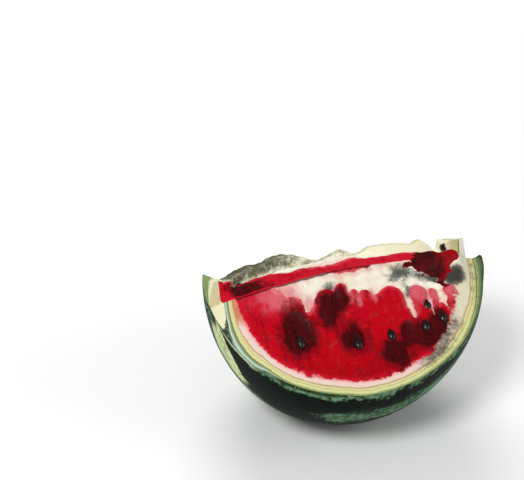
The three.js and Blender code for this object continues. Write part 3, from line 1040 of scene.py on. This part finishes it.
def skin_material():
    shader = Shader("melon_skin", specular=0.03)
    angle = shader.field("sweep")
    station = shader.field("station")
    along = {"X": station, "Y": shader.times(angle, 5.0)}
    flow = shader.add("ShaderNodeCombineXYZ", along).outputs[0]
    jag = shader.noise(46.0, 4.0)
    fine = shader.noise(260.0, 4.0)
    cloud = shader.noise(18.0)
    streak = shader.noise(0.07, 4.0, flow)
    jagged = shader.plus(angle, (jag, 9.0), (fine, 4.0))
    turns = shader.times(jagged, 2 * math.pi / STRIPE_SPACING)
    darkness = shader.times(shader.step(station, *DARK_LEFT), shader.step(angle, *DARK_FRONT))
    darkness = shader.times(darkness, shader.step(angle, *RIM_STRIP, 1.0, 0.0))
    stripe = shader.plus(shader.math("COSINE", turns), (cloud, 1.6), (streak, 1.8), (fine, 1.4))
    stripe = shader.plus(stripe, (darkness, -2.0))
    light = shader.step(stripe, -0.5, 0.6)
    dark = shader.mix(shader.step(fine, -0.2, 0.3), colour(4, 10, 7), colour(14, 28, 20))
    speckle = shader.step(shader.plus(fine, (streak, 0.5), (jag, 0.4)), -0.22, 0.24)
    green = shader.mix(speckle, colour(36, 66, 48), colour(112, 148, 112))
    base = shader.mix(light, dark, green)
    wavering = shader.plus(angle, (jag, 6.0), (fine, 5.0))
    past_start = shader.math("MAXIMUM", shader.math("SUBTRACT", station, PALE_FROM[1]), 0.0)
    ragged = shader.plus(station, (jag, 12.0))
    ragged_end = shader.step(ragged, *PALE_TO, 1.0, 0.0)
    on_end = shader.times(shader.step(ragged, *PALE_FROM), ragged_end)
    mottle = shader.step(shader.plus(fine, (jag, 0.8)), -0.1, 0.35, 1.0, 0.45)
    for middle, half_width, widening, shade in PALE_STRIPES:
        away = shader.math("ABSOLUTE", shader.math("SUBTRACT", wavering, float(middle)))
        away = shader.plus(away, (past_start, -widening))
        across = shader.step(away, half_width - PALE_EDGE, half_width + PALE_EDGE, 1.0, 0.0)
        pale = shader.times(shader.times(across, on_end), mottle)
        base = shader.mix(pale, base, shade)
    shader.put(shader.surface.inputs["Base Color"], base)
    gloss = shader.plus(shader.step(light, 0.0, 1.0, 0.5, 0.6), (fine, 0.2))
    shader.put(shader.surface.inputs["Roughness"], gloss)
    shader.bump(shader.plus(fine, (jag, 1.0)), 0.12, 0.5 * MM)
    return shader.material


def seed_material():
    shader = Shader("seed_coat", specular=0.4)
    fine = shader.noise(700.0)
    cloud = shader.noise(160.0)
    brown = shader.step(shader.plus(cloud, (fine, 0.5)), -0.1, 0.35)
    base = shader.mix(brown, colour(13, 5, 8), colour(36, 14, 12))
    shader.put(shader.surface.inputs["Base Color"], base)
    gloss = shader.plus(shader.step(cloud, -0.3, 0.3, 0.22, 0.34), (fine, 0.1))
    shader.put(shader.surface.inputs["Roughness"], gloss)
    shader.bump(fine, 0.15, 0.2 * MM)
    return shader.material


# The pieces

def new_object(name, data):
    added = bpy.data.objects.new(name, data)
    bpy.context.scene.collection.objects.link(added)
    return added


def add_piece(name, mesh, materials):
    piece = new_object(name, mesh)
    for material in materials:
        mesh.materials.append(material)
    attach(piece, BODY)
    return piece


def build_wedge():
    wedge = add_piece("wedge", wedge_mesh(), [cut_material(), skin_material()])
    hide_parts(NODE)


SEED_RINGS = 16
SEED_SIDES = 24
# A seed's narrow tip and where it starts, and the dip inside its edge and where it lies
SEED_TAPER = 0.45
SEED_TAPER_START = -0.2
SEED_DIP = 0.18
SEED_DIP_PLACE = (0.75, 0.25)


def seed_points():
    """A flat drop, narrow at its +X end, with a raised edge all round."""
    rings = math.pi * np.arange(1, SEED_RINGS) / SEED_RINGS
    sides = 2 * math.pi * np.arange(SEED_SIDES) / SEED_SIDES
    ring, side = np.meshgrid(rings, sides, indexing="ij")
    x = -np.cos(ring)
    y = np.sin(ring) * np.cos(side) * (1 - SEED_TAPER * smoothstep(x, SEED_TAPER_START, 1))
    z = np.sin(ring) * np.sin(side) * (1 - SEED_DIP * hill(np.abs(np.cos(side)), *SEED_DIP_PLACE))
    body = np.stack([x, y, z], -1).reshape(-1, 3)
    size = np.array([SEED_LENGTH, SEED_WIDTH, SEED_THICKNESS])
    return np.concatenate([[[-1, 0, 0]], body, [[1, 0, 0]]]) * size / 2


def face_frame(surface, degrees, share, turn=0.0):
    """A seed's place on a face: half sunk, its narrow end towards the ridge or turned from there."""
    nearby = 0.005

    def at(station, part):
        return surface(np.array([station]), np.array([part]))[0]

    station = math.radians(degrees)
    here = at(station, share)
    up = unit(at(station, share - nearby) - here)
    along = unit(at(station - nearby, share) - here)
    out = unit(np.cross(up, along))
    if out[2] < 0:
        out = -out
    across = np.cross(out, up)
    narrow = up * math.cos(turn) + across * math.sin(turn)
    return here, np.stack([narrow, np.cross(out, narrow), out])


def back_seeds():
    """Where the seeds in the trough lie, spread along it and scattered across it."""
    for i in range(BACK_SEED_COUNT):
        degrees = blend(*BACK_SEED_STATIONS, (i + 0.5) / BACK_SEED_COUNT)
        yield degrees, blend(*BACK_SEED_SHARES, (i * GOLDEN_SHARE) % 1)


def build_seeds():
    shape = seed_points()
    faces = loft_faces(SEED_RINGS - 1, SEED_SIDES)
    places = [(front_surface, *seed) for seed in FRONT_SEEDS]
    places += [(back_surface, *seed) for seed in back_seeds()]
    places.append((back_surface, *FIN_SEED, FIN_SEED_TURN))
    vertices = []
    polygons = []
    for place in places:
        here, axes = face_frame(*place)
        first = len(vertices)
        vertices += (here + shape @ axes).tolist()
        polygons += [tuple(first + corner for corner in face) for face in faces]
    mesh = bpy.data.meshes.new("seeds")
    mesh.from_pydata(vertices, [], polygons)
    mesh.shade_smooth()
    add_piece("seeds", mesh, [seed_material()])


# The floor, the lights and the camera

FLOOR_HALF = 6.0
WORLD_STRENGTH = 0.27


def floor_material():
    shader = Shader("pale_floor", specular=0.1)
    shader.surface.inputs["Base Color"].default_value = (0.97, 0.97, 0.97, 1.0)
    shader.surface.inputs["Roughness"].default_value = 0.9
    return shader.material


def build_floor():
    mesh = bpy.data.meshes.new("floor")
    corners = [(x * FLOOR_HALF, y * FLOOR_HALF, 0) for x, y in ((-1, -1), (1, -1), (1, 1), (-1, 1))]
    mesh.from_pydata(corners, [], [(0, 1, 2, 3)])
    mesh.materials.append(floor_material())
    floor = new_object("floor", mesh)


def add_light(name, place, target, size, power, mirrored=True):
    light = bpy.data.lights.new(name, "AREA")
    light.shape = "DISK"
    light.size = size
    light.energy = power
    lamp = new_object(name, light)
    lamp.location = place
    lamp.rotation_euler = (Vector(target) - Vector(place)).to_track_quat("-Z", "Y").to_euler()
    lamp.visible_glossy = mirrored


def build_lights():
    world = bpy.data.worlds.new("studio")
    world.use_nodes = True
    background = world.node_tree.nodes["Background"]
    background.inputs["Color"].default_value = (1.0, 1.0, 1.0, 1.0)
    background.inputs["Strength"].default_value = WORLD_STRENGTH
    bpy.context.scene.world = world
    add_light("key", (-1.0, -1.1, 1.6), CENTRE, size=0.7, power=26.0)
    add_light("fill", (1.5, -0.9, 0.9), CENTRE, size=1.2, power=9.0)
    add_light("back", (0.2, 1.9, 1.8), (0, 0.9, 0), size=1.6, power=34.0, mirrored=False)
    bpy.context.scene.view_settings.view_transform = "Standard"


def build_camera():
    azimuth = CAMERA_AZIMUTH
    elevation = CAMERA_ELEVATION
    level = math.cos(elevation)
    back = Vector((-math.sin(azimuth) * level, -math.cos(azimuth) * level, math.sin(elevation)))
    eye = Vector(CENTRE) + back * CAMERA_DISTANCE
    # The view is turned so that the melon's middle falls on its own pixel
    across = (IMAGE_WIDTH / 2 - CENTRE_PIXEL[0]) / FOCAL_PIXELS * CAMERA_DISTANCE
    above = (CENTRE_PIXEL[1] - IMAGE_HEIGHT / 2) / FOCAL_PIXELS * CAMERA_DISTANCE
    right = Vector((math.cos(azimuth), -math.sin(azimuth), 0))
    up = back.cross(right)
    target = Vector(CENTRE) + right * across + up * above
    level_view = Matrix((right, up, back)).transposed()
    turn = back.rotation_difference(eye - target).to_matrix()
    data = bpy.data.cameras.new("camera")
    data.sensor_fit = "HORIZONTAL"
    data.sensor_width = SENSOR_WIDTH
    data.lens = FOCAL_PIXELS * SENSOR_WIDTH / IMAGE_WIDTH
    camera = new_object("camera", data)
    camera.matrix_world = Matrix.Translation(eye) @ (turn @ level_view).to_4x4()
    bpy.context.scene.camera = camera


build_camera()
build_lights()
build_floor()
build_wedge()
build_seeds()
